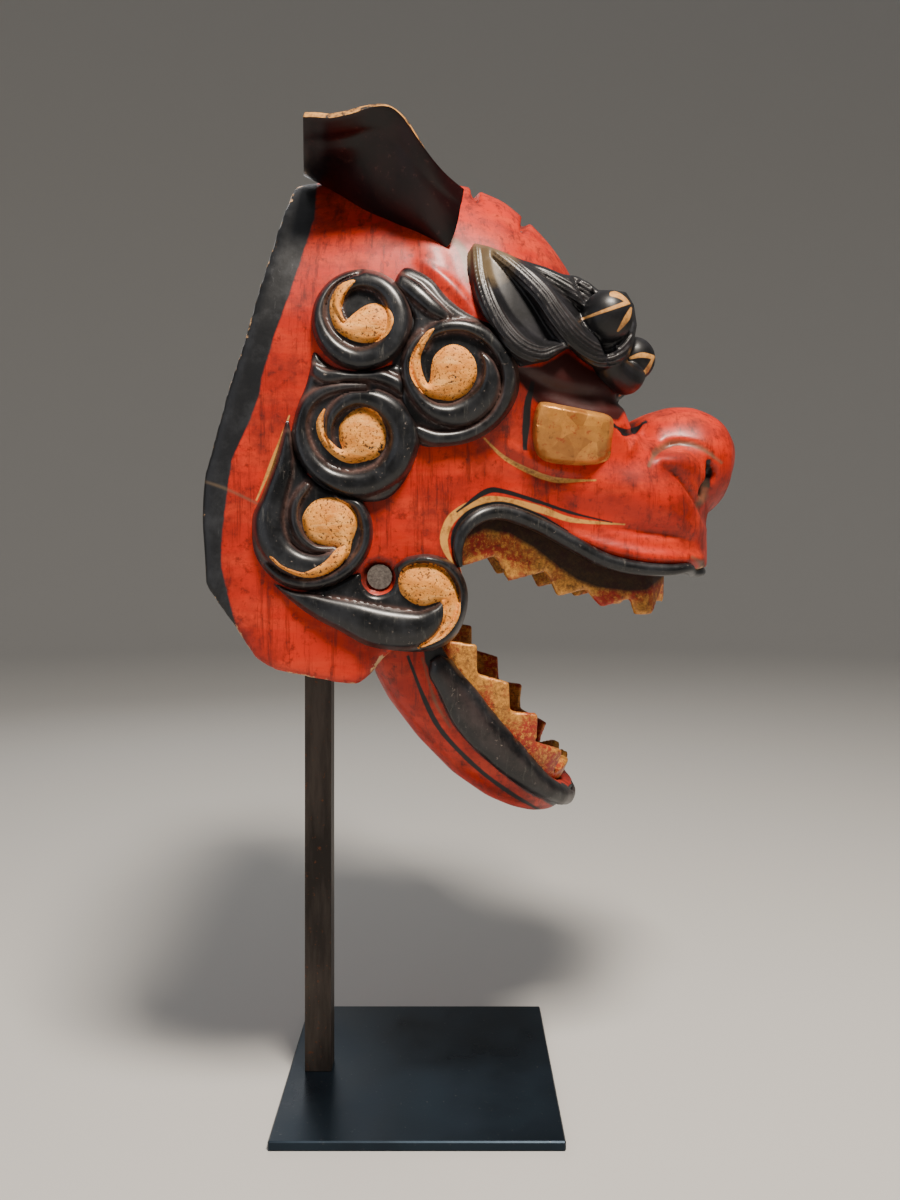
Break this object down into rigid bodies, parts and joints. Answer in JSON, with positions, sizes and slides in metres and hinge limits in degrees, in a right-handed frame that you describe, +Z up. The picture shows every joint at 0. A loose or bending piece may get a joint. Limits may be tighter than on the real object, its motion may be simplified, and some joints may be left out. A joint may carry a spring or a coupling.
{
  "type": "lion dance head on a stand",
  "caption": "Carved wooden lion dance head in red and black lacquer with gilded teeth, curled hair, flared ears and a hinged lower jaw, held on a square bar and a flat steel plate.",
  "frame": {"origin": "centre of the underside of the base plate", "axes": "+X towards the lion's nose, +Y towards the lion's left side, +Z up"},
  "size_m": [0.3356, 0.3042, 0.6147],
  "materials": {
    "red_lacquer": "satin vermilion lacquer over wood, worn",
    "black_lacquer": "satin black lacquer over wood",
    "maroon_lacquer": "glossy dark maroon lacquer",
    "ochre": "matt ochre gold paint over wood",
    "gold_leaf": "rubbed gold leaf over wood",
    "dowel_wood": "bare wood, grey with age",
    "bar_steel": "dark steel with rust specks",
    "plate_steel": "satin blue-black steel"
  },
  "bodies": {
    "head": {"base_plate": "plate_steel", "post": "bar_steel", "head_shell": "red_lacquer", "ear_right": "maroon_lacquer", "ear_left": "maroon_lacquer", "brow_right": "black_lacquer", "brow_left": "black_lacquer", "eye_right": "gold_leaf", "eye_left": "gold_leaf", "curl_right_1": "black_lacquer", "curl_right_2": "black_lacquer", "curl_right_3": "black_lacquer", "curl_right_4": "black_lacquer", "curl_right_5": "black_lacquer", "curl_left_1": "black_lacquer", "curl_left_2": "black_lacquer", "curl_left_3": "black_lacquer", "curl_left_4": "black_lacquer", "curl_left_5": "black_lacquer", "curl_gold_right_1": "ochre", "curl_gold_right_2": "ochre", "curl_gold_right_3": "ochre", "curl_gold_right_4": "ochre", "curl_gold_right_5": "ochre", "curl_gold_left_1": "ochre", "curl_gold_left_2": "ochre", "curl_gold_left_3": "ochre", "curl_gold_left_4": "ochre", "curl_gold_left_5": "ochre", "upper_lip": "black_lacquer", "upper_teeth": "gold_leaf", "jaw_pin": "dowel_wood"},
    "jaw": {"jaw_shell": "red_lacquer", "lower_lip": "black_lacquer", "lower_teeth": "gold_leaf"}
  },
  "joints": [
    {"name": "jaw_hinge", "type": "hinge", "parent": "head", "child": "jaw", "pos_m": [-0.02118, 0, 0.34655], "axis": [0, -1, 0], "range_deg": [0, 28]}
  ]
}
